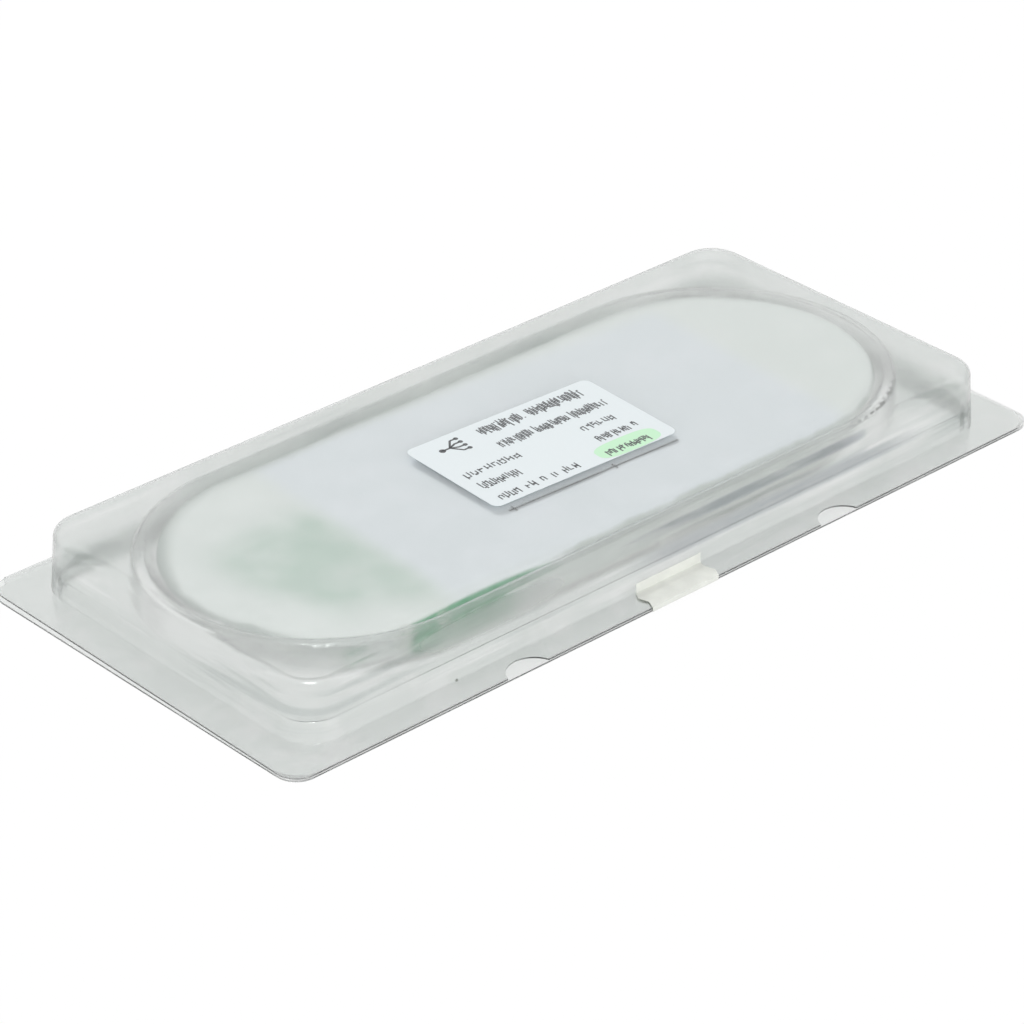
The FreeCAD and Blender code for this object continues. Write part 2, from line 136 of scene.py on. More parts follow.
def lid_place():
    """The matrix that closes the lid, from the level lid to where it lies, in millimetres."""
    fold = SHEET + FOLD_GAP / 2
    turn = math.atan2(FOLD_GAP - FRONT_GAP, PACK_DEPTH - fold)
    pivot = Vector((0, PACK_DEPTH / 2 - fold, FLANGE_LIFT + fold))
    return Matrix.Translation(pivot) @ Matrix.Rotation(turn, 4, "X") @ Matrix.Translation(-pivot)


def label_place():
    """From the label's own plane, centred and level, to its place on the closed lid, in metres."""
    top = FLANGE_LIFT + SHEET + FOLD_GAP + SHEET + LID_HEIGHT + LABEL_THICKNESS
    level = Matrix.Translation((*LABEL_CENTRE, top)) @ Matrix.Rotation(
        math.radians(LABEL_TURN), 4, "Z"
    )
    return Matrix.Scale(MM, 4) @ lid_place() @ level


# ---------------------------------------------------------------- node helpers

def fill(tree, node, inputs):
    """Links or sets each of the node's inputs, given by name or number."""
    for key, value in inputs.items():
        socket = node.inputs[key]
        if isinstance(value, bpy.types.NodeSocket):
            tree.links.new(value, socket)
        else:
            socket.default_value = (*value, 1.0) if socket.type == "RGBA" else value
    return node


def place(tree, kind, inputs=None, **options):
    """Adds a node, sets its options and fills its inputs."""
    node = tree.nodes.new(kind)
    for name, value in options.items():
        setattr(node, name, value)
    return fill(tree, node, inputs or {})


def sums(tree, operation, first, second=0.0, third=None, clamp=False):
    """One step of arithmetic."""
    inputs = {0: first, 1: second}
    if third is not None:
        inputs[2] = third
    return place(tree, "ShaderNodeMath", inputs, operation=operation, use_clamp=clamp).outputs[0]


def product(tree, first, *others):
    for other in others:
        first = sums(tree, "MULTIPLY", first, other)
    return first


def mixed(tree, share, first, second):
    """The first colour where the share is nought and the second where it is one."""
    inputs = {0: share, 6: first, 7: second}
    return place(tree, "ShaderNodeMix", inputs, data_type="RGBA").outputs[2]


def eased(tree, value, low, high, out_low=0.0, out_high=1.0):
    """A smooth step from low to high."""
    node = place(
        tree, "ShaderNodeMapRange",
        {"Value": value, "From Min": low, "From Max": high, "To Min": out_low, "To Max": out_high},
        interpolation_type="SMOOTHSTEP",
    )
    return node.outputs["Result"]


def band(tree, value, rise, fall):
    """One between a soft rise and a soft fall, each given as two millimetre values, else nought."""
    up = eased(tree, value, rise[0] * MM, rise[1] * MM)
    return product(tree, up, eased(tree, value, fall[0] * MM, fall[1] * MM, 1.0, 0.0))


def noise(tree, spot, scale, detail, roughness=0.5, stretch=None, turn=0.0):
    """Soft noise from nought to one; stretch is the scale along each axis of turned coordinates."""
    if stretch:
        spot = place(
            tree, "ShaderNodeMapping", {"Vector": spot, "Rotation": (0, 0, turn), "Scale": stretch},
        ).outputs["Vector"]
    return place(tree, "ShaderNodeTexNoise", {
        "Vector": spot, "Scale": scale, "Detail": detail, "Roughness": roughness,
    }).outputs["Fac"]


def bumped(tree, height, strength, distance):
    return place(tree, "ShaderNodeBump", {
        "Height": height, "Strength": strength, "Distance": distance,
    }).outputs["Normal"]


def parts_of(tree, vector):
    """The X, Y and Z outputs of a vector."""
    return place(tree, "ShaderNodeSeparateXYZ", {"Vector": vector}).outputs


def reach_past(tree, parts, half_x, half_y):
    """How far a place lies outside a flat box; rounded corners come from taking a radius off it."""
    sides = []
    for axis, half in (("X", half_x), ("Y", half_y)):
        side = sums(tree, "SUBTRACT", sums(tree, "ABSOLUTE", parts[axis]), half)
        sides.append(sums(tree, "MAXIMUM", side, 0.0))
    flat = place(tree, "ShaderNodeCombineXYZ", {"X": sides[0], "Y": sides[1]}).outputs[0]
    return place(tree, "ShaderNodeVectorMath", {0: flat}, operation="LENGTH").outputs["Value"]


def new_material(name):
    """A material with its node tree and its shader."""
    material = bpy.data.materials.new(name)
    material.use_nodes = True
    tree = material.node_tree
    return material, tree, tree.nodes["Principled BSDF"]


def scaled(tone, share):
    """A colour made darker by a share below one."""
    return [share * c for c in tone]


def new_group(name, inputs, outputs):
    """An empty shader group with named inputs (name, type, default) and outputs (name, type)."""
    group = bpy.data.node_groups.new(name, "ShaderNodeTree")
    for label, kind, default in inputs:
        socket = group.interface.new_socket(label, in_out="INPUT", socket_type=kind)
        if default is not None:
            socket.default_value = default
    for label, kind in outputs:
        group.interface.new_socket(label, in_out="OUTPUT", socket_type=kind)
    return group, group.nodes.new("NodeGroupInput").outputs, group.nodes.new("NodeGroupOutput")


def use_group(tree, name, inputs):
    """Places a shared effect and returns its outputs."""
    return place(tree, "ShaderNodeGroup", inputs, node_tree=bpy.data.node_groups[name]).outputs


def object_coordinates(tree):
    return place(tree, "ShaderNodeTexCoord").outputs["Object"]


def moved(tree, vector, centre=(0, 0, 0), turn=0.0):
    """Coordinates centred on a point, in metres, and turned about Z, in degrees."""
    mapping = place(
        tree, "ShaderNodeMapping",
        {"Vector": vector, "Location": centre, "Rotation": (0, 0, math.radians(turn))},
        vector_type="TEXTURE",
    )
    return mapping.outputs["Vector"]


# ---------------------------------------------------------------- shared effects

NUMBER, VECTOR = "NodeSocketFloat", "NodeSocketVector"


def build_fine_grain():
    """Small bumps and a slow unevenness, as moulded and foamed plastics have."""
    group, given, out = new_group(
        "Fine Grain",
        [("Vector", VECTOR, None), ("Scale", NUMBER, 2000.0), ("Depth", NUMBER, 0.0001),
         ("Strength", NUMBER, 0.3)],
        [("Value", NUMBER), ("Normal", VECTOR)],
    )
    fine = noise(group, given["Vector"], given["Scale"], 3.0, 0.6)
    fill(group, out, {
        "Value": fine, "Normal": bumped(group, fine, given["Strength"], given["Depth"]),
    })


def build_soft_box():
    """A rectangle about its middle: one inside, nought outside, and soft at its edge."""
    group, given, out = new_group(
        "Soft Box",
        [("Vector", VECTOR, None), ("Length", NUMBER, 0.1), ("Width", NUMBER, 0.05),
         ("Softness", NUMBER, 0.004)],
        [("Mask", NUMBER)],
    )
    parts = parts_of(group, given["Vector"])
    sides = []
    for axis, size in (("X", "Length"), ("Y", "Width")):
        away = sums(group, "ABSOLUTE", parts[axis])
        half = sums(group, "MULTIPLY", given[size], 0.5)
        gap = sums(group, "SUBTRACT", half, away)
        share = sums(group, "DIVIDE", gap, given["Softness"])
        sides.append(eased(group, share, -0.5, 0.5))
    fill(group, out, {"Mask": product(group, *sides)})


def build_film_wear():
    """Sparse fine scratches and faint cloudy haze of handled clear film."""
    group, given, out = new_group(
        "Film Wear",
        [("Vector", VECTOR, None), ("Haze", NUMBER, 0.02), ("Scratches", NUMBER, 0.3)],
        [("Roughness", NUMBER), ("Mask", NUMBER), ("Normal", VECTOR)],
    )
    cloud = noise(group, given["Vector"], 80.0, 2.0, 0.6)
    cloudy = eased(group, cloud, 0.42, 0.72)
    lines = noise(group, given["Vector"], 1.0, 0.0, stretch=(30.0, 420.0, 200.0), turn=0.5)
    scratched = product(group, eased(group, lines, 0.68, 0.74), given["Scratches"])
    hazed = product(group, cloudy, given["Haze"])
    waves = noise(group, given["Vector"], 60.0, 0.0)
    fill(group, out, {
        "Roughness": sums(group, "ADD", hazed, product(group, scratched, 0.1)),
        "Mask": sums(group, "ADD", cloudy, scratched, clamp=True),
        "Normal": bumped(group, waves, 0.25, 0.0004),
    })


# ---------------------------------------------------------------- settings

def colour(name, description, default):
    return FloatVectorProperty(
        name=name, description=description, default=default, size=3, subtype="COLOR", min=0, max=1
    )


def length(name, description, default):
    return FloatProperty(
        name=name, description=description, default=default, unit="LENGTH", precision=5
    )


def number(name, description, default, low=0.0, high=10.0):
    return FloatProperty(name=name, description=description, default=default, min=low, max=high)


def angle(name, description, default):
    return FloatProperty(
        name=name, description=description, default=math.radians(default), subtype="ANGLE"
    )


class StageSettings(bpy.types.PropertyGroup):
    azimuth: angle("Azimuth", "Where the camera stands round the pack", -42.8)
    elevation: angle("Elevation", "How high the camera looks down from", 29.85)
    distance: length("Distance", "From the camera to the point it looks at", 0.867)
    focal_length: number("Focal Length", "Lens in millimetres", 144.8, 1.0, 500.0)
    aim: FloatVectorProperty(
        name="Aim", description="The point that the camera looks at",
        default=(-0.0059, -0.0015, 0.0015), size=3, subtype="TRANSLATION",
    )
    key_power: number("Key Power", "Power in watts of the small light behind", 7.5, 0.0, 100.0)
    glint_power: number("Glint Power", "Power of the small light that glints on the corners", 9.0)
    fill_power: number("Fill Power", "Power in watts of the broad light in front", 8.8, 0.0, 100.0)
    sky: number("Sky", "Strength of the light from all round", 0.55)
    floor_colour: colour("Floor Colour", "Plain pale floor", (0.8, 0.8, 0.8))
    floor_shade: number("Floor Shade", "How much of a shadow the floor shows", 0.03, 0.0, 1.0)


class FilmSettings(bpy.types.PropertyGroup):
    tint: colour("Tint", "Light through one layer of film, straight on", (0.832, 0.85, 0.84))
    edge_tint: colour("Edge Tint", "Light through the film, edge on", (0.79, 0.815, 0.803))
    streak_tint: colour("Streak Tint", "Light through the walls' dark streaks", (0.66, 0.69, 0.68))
    shade_tint: colour("Shade Tint", "Light through the broken shade in front", (0.42, 0.45, 0.48))
    # Painted shade: the tint that darkens the foot of the well's wall.
    foot_shade_tint: colour("Foot Tint", "Light through the foot of the well's wall", (0.64, 0.64, 0.625))
    roughness: number("Roughness", "Blur of what is seen through the film", 0.135, 0.0, 1.0)
    haze: number("Haze", "Added blur where the film is cloudy", 0.07, 0.0, 1.0)
    scratches: number("Scratches", "Strength of the fine scratches", 0.35, 0.0, 1.0)


class FoamSettings(bpy.types.PropertyGroup):
    white: colour("White", "Bare foam", (0.745, 0.783, 0.765))
    paper_tone: colour("Paper Tone", "Foam with paper under it", (0.725, 0.765, 0.797))
    green_tone: colour("Green Tone", "Foam with green housings under it", (0.50, 0.61, 0.545))
    # Painted shade: the colour that darkens the foam's soft edge.
    edge_shade_tone: colour("Edge Tone", "Thin soft edge of the foam", (0.50, 0.54, 0.52))


class PrintSettings(bpy.types.PropertyGroup):
    ink: colour("Ink", "Printed lines", (0.05, 0.055, 0.06))
    paper: colour("Paper", "Label paper", (0.765, 0.818, 0.835))
    patch: colour("Patch", "Pale round patch on the label", (0.58, 0.85, 0.61))
    seed: IntProperty(name="Seed", description="Changes the printed strokes", default=4)


class FibreSettings(bpy.types.PropertyGroup):
    diameter: length("Diameter", "Outside of each fibre's jacket", 0.0009)
    real_length: length("Length", "Each fibre from the module to its connector", 2.0)
    jacket: colour("Jacket", "Fibre jacket", (0.82, 0.83, 0.80))


class PlasticSettings(bpy.types.PropertyGroup):
    green: colour("Green", "Grips and boots of the connectors", (0.02, 0.34, 0.13))
    frame_white: colour("Frame", "Inner plug frames", (0.80, 0.82, 0.78))
    cap: colour("Cap", "Dust caps", (0.85, 0.87, 0.86))
    tape: colour("Tape", "Sealing tape", (0.74, 0.755, 0.71))


# ---------------------------------------------------------------- pieces and materials

class PieceOperator:
    """What the operators share: each builds its own pieces or looks, and is done."""

    def execute(self, context):
        self.build()
        return {"FINISHED"}


def settings(group):
    return getattr(bpy.context.scene, f"splitter_{group}")


def dress(node, material):
    """Puts one material on a solid's own mesh."""
    slots = NODES[node].material_slots
    if not slots:
        raise RuntimeError(f"{node} has no material slot")
    for slot in slots:
        slot.material = material


def add_object(name, data):
    thing = bpy.data.objects.new(name, data)
    bpy.context.collection.objects.link(thing)
    return thing


def add_piece(name, bm, material, matrix=None):
    """A new piece of the pack, made from a finished mesh, with its place in the mesh."""
    mesh = bpy.data.meshes.new(name)
    bm.to_mesh(mesh)
    bm.free()
    if matrix:
        mesh.transform(matrix)
    mesh.materials.append(material)
    return add_object(name, mesh)


def grained_material(name, tone, dark, roughness, grain, more=None):
    """A plain matt finish: its tone down to a darker share, and a roughness range, by fine grain.

    grain holds the grain's scale, depth and strength.
    """
    material, tree, shader = new_material(name)
    scale, depth, strength = grain
    effect = use_group(tree, "Fine Grain", {
        "Vector": object_coordinates(tree), "Scale": scale, "Depth": depth, "Strength": strength,
    })
    value = effect["Value"]
    fill(tree, shader, {
        "Base Color": mixed(tree, value, scaled(tone, dark), tone),
        "Roughness": eased(tree, value, 0.3, 0.7, *roughness),
        "Normal": effect["Normal"],
        **(more or {}),
    })
    return material


# ---------------------------------------------------------------- stage

def white_for_lens(tree):
    """One for rays from the lens, reflections and rays through glass, else nought."""
    rays = place(tree, "ShaderNodeLightPath")
    seen = sums(tree, "MAXIMUM", rays.outputs["Is Camera Ray"], rays.outputs["Is Glossy Ray"])
    return sums(tree, "MAXIMUM", seen, rays.outputs["Is Transmission Ray"])


def dress_world(sky):
    world = bpy.data.worlds.new("Studio")
    bpy.context.scene.world = world
    world.use_nodes = True
    tree = world.node_tree
    strength = sums(tree, "MULTIPLY_ADD", white_for_lens(tree), 1.0 - sky, sky)
    fill(tree, tree.nodes["Background"], {"Color": [1.0] * 3, "Strength": strength})


def floor_material(shade, tone):
    material, tree, shader = new_material("Pale Floor")
    grain = use_group(tree, "Fine Grain", {"Vector": object_coordinates(tree), "Scale": 300.0})
    base = mixed(tree, grain["Value"], scaled(tone, 0.99), tone)
    shaded = mixed(tree, white_for_lens(tree), base, [shade] * 3)
    fill(tree, shader, {
        "Base Color": shaded, "Roughness": 0.9, "Specular IOR Level": 0.0,
        "Emission Color": [1.0] * 3,
        "Emission Strength": product(tree, white_for_lens(tree), 1.0 - shade),
    })
    return material


def add_floor(shade, tone):
    mesh = bpy.data.meshes.new("floor")
    half = 6.0
    corners = [(-half, -half, 0), (half, -half, 0), (half, half, 0), (-half, half, 0)]
    mesh.from_pydata(corners, [], [(0, 1, 2, 3)])
    mesh.materials.append(floor_material(shade, tone))
    floor = add_object("floor", mesh)


def add_light(name, azimuth, elevation, distance, size, power, hidden_from):
    """A soft lamp that looks at the pack from an azimuth and elevation in degrees.

    hidden_from names the lamp's own setting for the kind of ray that doesn't meet it.
    """
    light = bpy.data.lights.new(name, "AREA")
    light.shape = "RECTANGLE"
    light.size, light.size_y = size
    light.energy = power
    lamp = add_object(name, light)
    lamp.visible_transmission = False
    lamp.location = around(math.radians(azimuth), math.radians(elevation), distance)
    lamp.rotation_euler = (-lamp.location).to_track_quat("-Z", "Y").to_euler()
    setattr(lamp, hidden_from, False)


def around(azimuth, elevation, distance, middle=(0, 0, 0)):
    """A point round the middle; azimuth nought is in front, towards -Y."""
    flat = math.cos(elevation)
    away = Vector((math.sin(azimuth) * flat, -math.cos(azimuth) * flat, math.sin(elevation)))
    return Vector(middle) + away * distance


def add_camera(given):
    camera = add_object("camera", bpy.data.cameras.new("camera"))
    camera.data.sensor_width = 36.0
    camera.data.lens = given.focal_length
    camera.data.clip_start = 0.05
    camera.location = around(given.azimuth, given.elevation, given.distance, given.aim)
    towards = Vector(given.aim) - camera.location
    camera.rotation_euler = towards.to_track_quat("-Z", "Y").to_euler()
    bpy.context.scene.camera = camera


class StageOperator(PieceOperator, bpy.types.Operator):
    """Floor, lights, world and camera"""

    bl_idname = "splitter.stage"
    bl_label = "Stage"

    def build(self):
        given = settings("stage")
        bpy.context.scene.view_settings.view_transform = "Standard"
        dress_world(given.sky)
        add_floor(given.floor_shade, given.floor_colour)
        add_light("key", 166, 44, 1.3, (0.3, 0.3), given.key_power, "visible_glossy")
        add_light("glint", -43, 62, 1.3, (0.3, 0.3), given.glint_power, "visible_diffuse")
        add_light("fill", -25, 25, 1.2, (1.4, 0.7), given.fill_power, "visible_glossy")
        add_camera(given)


# ---------------------------------------------------------------- fibres

def ease(value):
    """A smooth step from nought to one."""
    value = min(1.0, max(0.0, value))
    return value * value * (3 - 2 * value)


def racetrack(turn, radius):
    """A point on the coil's racetrack; turn counts anticlockwise from its front side's start."""
    left, right = COIL_CENTRES
    run = right - left
    bend = math.pi * COIL_RADIUS
    along = (turn % 1.0) * 2 * (run + bend)
    if along < run:
        return left + along, -radius
    if along < run + bend:
        swing = (along - run) / COIL_RADIUS - math.pi / 2
        return right + radius * math.cos(swing), radius * math.sin(swing)
    if along < 2 * run + bend:
        return right - (along - run - bend), radius
    swing = (along - 2 * run - bend) / COIL_RADIUS + math.pi / 2
    return left + radius * math.cos(swing), radius * math.sin(swing)


def coil_seats(low, diameter):
    """Radius and height of each of the eight places in one fibre's ring, in the order they fill."""
    step = diameter + FIBRE_GAP
    lift = diameter / 2 + RING_GAP
    inner = COIL_RADIUS - COIL_WIDTH / 2 + lift
    heights = (low + lift, low + lift + step)
    seats = []
    for i in range(4):
        pair = heights if i % 2 == 0 else heights[::-1]
        seats += [(inner + i * step, z) for z in pair]
    return seats


def seat_at(turns, seats):
    """The place between the seats after so many turns; each change comes a little sooner."""
    radius, z = seats[0]
    for i in range(len(seats) - 1):
        change = ease((turns - (i + FIRST_CHANGE - SEAT_CHANGE * i)) / SEAT_CHANGE)
        radius += change * (seats[i + 1][0] - seats[i][0])
        z += change * (seats[i + 1][1] - seats[i][1])
    return radius, z


def fibre_points(name, start, lead, layer, joins):
    """One fibre from the module, round its coil, to its connector, turning anticlockwise.

    start is where it leaves the module, heading +X. joins says how far it runs inside the coil
    before its first full turn.
    """
    seats = coil_seats(FLOOR_TOP + layer * COIL_STEP, FIBRE_ROOM)
    x, y = start
    bend = TAIL_BEND - abs(y)
    points = [(x, y, AXIS_HEIGHT), (x + 1.5, y, AXIS_HEIGHT)]
    first_z = seats[0][1]
    swings = (25, 50, 75, 98)
    climb_all = len(swings) + max(1, round(joins * TURN_POINTS))
    for i, swing in enumerate(swings):
        turn = math.radians(swing)
        z = AXIS_HEIGHT + (first_z - AXIS_HEIGHT) * ease((i + 1) / climb_all)
        points.append((x + 1.0 + bend * math.sin(turn), TAIL_BEND - bend * math.cos(turn), z))
    steps = max(2, round(joins * TURN_POINTS))
    for i in range(steps):
        share = i / steps
        radius = JOIN_RADIUS + (seats[0][0] - JOIN_RADIUS) * ease((share - 0.7) / 0.3)
        z = AXIS_HEIGHT + (first_z - AXIS_HEIGHT) * ease((len(swings) + i) / (len(swings) + steps))
        px, py = racetrack(JOIN_AT + joins * share, radius * DRAW)
        points.append((px, py, z))
    chance = random.Random(name)
    count = round(COIL_TURNS * TURN_POINTS)
    for i in range(count):
        turns = COIL_TURNS * i / count
        radius, z = seat_at(turns, seats)
        radius += chance.uniform(-JITTER, JITTER)
        px, py = racetrack(JOIN_AT + joins + turns, radius * DRAW)
        points.append((px, py, z))
    return points + lead


def mirrored(points, across_x=None, across_y=False):
    """The same route mirrored: across_x is the sum of the two sides' places along X."""
    changed = []
    for x, y, z in points:
        changed.append((across_x - x if across_x is not None else x, -y if across_y else y, z))
    return changed


def fibre_routes():
    """Every fibre's points in millimetres: out of the module, round the coil, and its lead."""
    height = CONNECTOR_HEIGHT
    centre_sum = sum(COIL_CENTRES)
    routes = {}
    # The input leaves the module's left end, so its route is made on the right and mirrored.
    lead = [(47.0, -23.4, 1.6), (54.0, -24.9, 3.0), (62.0, -25.6, 4.4), (70.0, -24.8, height),
            (75.5, -24.8, height)]
    points = fibre_points("input", (63.5, 0.0), lead, 0, 0.02)
    routes["input"] = mirrored(points, across_x=centre_sum)
    leads = {
        "output_1": [(1.5, 24.2, 3.3), (-5.0, 24.6, 4.2), (-13.0, 21.0, height),
                     (-21.5, 12.8, height), (-28.5, 6.6, height), (-33.5, 6.6, height)],
        "output_2": [(1.5, 23.6, 5.2), (-6.0, 22.2, 5.1), (-12.3, 18.6, height),
                     (-18.0, 12.4, height), (-22.5, 4.6, height), (-29.0, -1.3, height),
                     (-34.0, -1.3, height)],
        "output_3": [(1.5, 23.6, 7.0), (-6.5, 21.8, 6.2), (-14.0, 17.6, 5.4),
                     (-21.0, 12.6, height), (-27.5, 9.2, height), (-32.5, 9.2, height)],
        "output_4": [(1.5, 24.6, 8.3), (-6.0, 23.6, 7.2), (-14.0, 20.4, 5.7),
                     (-22.0, 17.1, height), (-27.5, 17.1, height)],
    }
    starts = {"output_1": 0.55, "output_2": 1.65, "output_3": 0.55, "output_4": 1.65}
    for layer, name in enumerate(CONNECTORS[1:], 1):
        points = fibre_points(name, (61.5, starts[name]), leads[name], layer, 0.52)
        routes[name] = mirrored(points, across_y=name in ("output_3", "output_4"))
    return routes


def add_fibre(name, points, given, material):
    """One round fibre as an open spline through its points."""
    curve = bpy.data.curves.new(f"{name}_fibre", "CURVE")
    curve.dimensions = "3D"
    curve.bevel_depth = given.diameter / 2
    curve.bevel_resolution = 2
    curve.resolution_u = 3
    curve.use_fill_caps = True
    spline = curve.splines.new("NURBS")
    spline.points.add(len(points) - 1)
    for target, point in zip(spline.points, points):
        target.co = (*(c * MM for c in point), 1.0)
    spline.order_u = 3
    spline.use_endpoint_u = True
    curve.materials.append(material)
    return add_object(f"{name}_fibre", curve)


class FibresOperator(PieceOperator, bpy.types.Operator):
    """Five coiled fibres, each from the steel module to its connector"""

    bl_idname = "splitter.fibres"
    bl_label = "Fibres"

    def build(self):
        given = settings("fibre")
        grain = (900.0, 0.00004, 0.2)
        material = grained_material("Fibre Jacket", given.jacket, 0.93, (0.32, 0.42), grain)
        for name, points in fibre_routes().items():
            fibre = add_fibre(name, points, given, material)
            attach(fibre, "pack")
            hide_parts(f"{name}_fibre_coil", f"{name}_fibre_lead", f"{name}_fibre_tail")


# ---------------------------------------------------------------- clear film

def wall_streaks(tree, spot):
    """Dark and pale level streaks on the upright walls only."""
    lines = noise(tree, spot, 1.0, 2.0, stretch=(20.0, 20.0, 330.0))
    wall = band(tree, parts_of(tree, spot)["Z"], (1.2, 3.0), (12.0, 13.4))
    dark = product(tree, wall, eased(tree, lines, 0.55, 0.7, 0.0, 0.8))
    pale = product(tree, wall, eased(tree, lines, 0.45, 0.3, 0.0, 0.7))
    return dark, pale


def front_shade(tree, spot):
    """Soft shade on the front of the well's rim: a high, thin, broken line and a low wide one."""
    cloud = noise(tree, spot, 1.0, 3.0, 0.55, stretch=(45.0, 60.0, 260.0))
    parts = parts_of(tree, spot)
    along = band(tree, parts["X"], (-14, 6), (62, 84))
    across = band(tree, parts["Y"], (-41.7, -41.2), (-38.6, -38.2))
    high = band(tree, parts["Z"], (8.4, 9.6), (10.4, 11.4))
    low = band(tree, parts["Z"], (4.0, 5.0), (5.2, 7.4))
    broken = product(tree, high, eased(tree, cloud, 0.35, 0.58, 0.2, 1.0))
    both = sums(tree, "ADD", broken, product(tree, low, 0.7), clamp=True)
    return product(tree, both, product(tree, along, across))


def painted_pale_turns(tree, spot):
    """Painted light: one round the well's right end and half round its left end, paling the film
    over the rim's lines.
    """
    parts = parts_of(tree, spot)
    reach = reach_past(tree, parts, RIM_CENTRE * MM, 0.0)
    near = eased(tree, reach, 38.5 * MM, 39.5 * MM, 1.0, 0.0)
    right = eased(tree, parts["X"], 55 * MM, 75 * MM)
    left = eased(tree, parts["X"], -50 * MM, -70 * MM, 0.0, 0.5)
    low = eased(tree, parts["Z"], 13.2 * MM, 13.5 * MM, 1.0, 0.0)
    return product(tree, near, sums(tree, "MAXIMUM", right, left), low)


def well_foot_shade(tree, spot):
    """Painted shade: one along the foot of the well's wall, where it turns in."""
    parts = parts_of(tree, spot)
    away = reach_past(tree, parts, WELL_CENTRE * MM, 0.0)
    low = eased(tree, parts["Z"], 2.5 * MM, 5.0 * MM, 1.0, 0.0)
    return product(tree, band(tree, away, (28.5, 30.5), (33.5, 35.5)), low)


def glare_patch(tree, spot):
    """How strong the painted reflection is: a pale glare painted on the rim near the front left of
    the well.
    """
    near = moved(tree, spot, (-0.047, -0.039, 0.0092))
    shape = place(tree, "ShaderNodeMapping", {"Vector": near, "Scale": (40.0, 330.0, 260.0)})
    away = place(tree, "ShaderNodeVectorMath", {0: shape.outputs["Vector"]}, operation="LENGTH")
    return eased(tree, away.outputs["Value"], 0.45, 1.0, 0.8, 0.0)


def cut_edge(tree, spot):
    """One on the cut edge round the flange, which is frosted."""
    low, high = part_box("clamshell")
    radius = FLANGE_CORNER * MM
    reach = reach_past(tree, parts_of(tree, spot), high[0] - radius, -low[1] - radius)
    return eased(tree, reach, radius - 0.25 * MM, radius - 0.1 * MM)


def specks(tree, spot, tone):
    """The tone with specks of dirt on it."""
    dirt = (0.12, 0.13, 0.10)
    for centre in DIRT:
        near = place(tree, "ShaderNodeVectorMath", {0: spot, 1: [c * MM for c in centre]},
                     operation="DISTANCE")
        there = eased(tree, near.outputs["Value"], 0.25 * MM, 0.5 * MM, 0.8, 0.0)
        tone = mixed(tree, there, tone, dirt)
    return tone


def film_material(given):
    material, tree, shader = new_material("Clear Film")
    spot = object_coordinates(tree)
    wear = use_group(tree, "Film Wear", {
        "Vector": spot, "Haze": given.haze, "Scratches": given.scratches,
    })
    facing = place(tree, "ShaderNodeLayerWeight", {"Blend": 0.5}).outputs["Facing"]
    edge = sums(tree, "POWER", facing, 3.0)
    milky = mixed(tree, wear["Mask"], given.tint, [0.3 + 0.7 * c for c in given.tint])
    tone = mixed(tree, edge, milky, given.edge_tint)
    dark, pale = wall_streaks(tree, spot)
    cut = cut_edge(tree, spot)
    painted_reflection = glare_patch(tree, spot)
    # The foot's shade, the pale turns round the rim's ends and the front shade are painted light
    # and shade mixed into the film's tone.
    for mask, tint in (
        (dark, given.streak_tint),
        (pale, [0.97] * 3),
        (well_foot_shade(tree, spot), given.foot_shade_tint),
        (painted_pale_turns(tree, spot), [0.96] * 3),
        (front_shade(tree, spot), given.shade_tint),
    ):
        tone = mixed(tree, mask, tone, tint)
    tone = specks(tree, spot, tone)
    # The painted reflection and the frosted cut edge both whiten the tone.
    whitened = sums(tree, "MAXIMUM", painted_reflection, product(tree, cut, 0.5))
    tone = mixed(tree, whitened, tone, [0.97] * 3)
    frosted = sums(tree, "MAXIMUM", product(tree, painted_reflection, 0.4), product(tree, cut, 0.4))
    clear = sums(tree, "ADD", wear["Roughness"], given.roughness)
    fill(tree, shader, {
        "Base Color": tone,
        "Roughness": sums(tree, "ADD", clear, frosted),
        "Normal": wear["Normal"],
        "Transmission Weight": 0.98, "IOR": 1.4, "Metallic": 0.0,
    })
    return material


class FilmOperator(PieceOperator, bpy.types.Operator):
    """Clear film of the clamshell"""

    bl_idname = "splitter.film"
    bl_label = "Clear Film"

    def build(self):
        dress("clamshell", film_material(settings("film")))
        film = NODES["clamshell"]
        film.visible_shadow = False
        film.visible_diffuse = False


# ---------------------------------------------------------------- foam

def pad_edge_shade(tree, spot, cloud):
    """Painted shade at the pad's edge: one at the edge and nought inside it; the fade is wider at
    the back than in front.
    """
    low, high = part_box("foam_pad")
    radius = (high[1] - low[1]) / 2
    run = (high[0] - low[0]) / 2 - radius
    parts = parts_of(tree, moved(tree, spot, ((low[0] + high[0]) / 2, 0, 0)))
    depth = sums(tree, "SUBTRACT", radius, reach_past(tree, parts, run, 0.0))
    wide = eased(tree, parts["Y"], -0.005, 0.025, 0.0006, 0.0048)
    uneven = sums(tree, "MULTIPLY_ADD", cloud, 0.0016, -0.0008)
    share = sums(tree, "DIVIDE", sums(tree, "ADD", depth, uneven), wide)
    return eased(tree, share, 0.0, 1.0, 1.0, 0.0)


def over_connectors(tree, spot):
    """One over the green grips, fading off round each."""
    total = 0.0
    for name in CONNECTORS:
        low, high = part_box(f"{name}_connector_grip")
        middle = ((low[0] + high[0]) / 2, (low[1] + high[1]) / 2, 0)
        mask = use_group(tree, "Soft Box", {
            "Vector": moved(tree, spot, middle), "Length": high[0] - low[0] + 0.004,
            "Width": high[1] - low[1] + 0.004, "Softness": 0.014,
        })["Mask"]
        total = sums(tree, "ADD", mask, total, clamp=True)
    return total


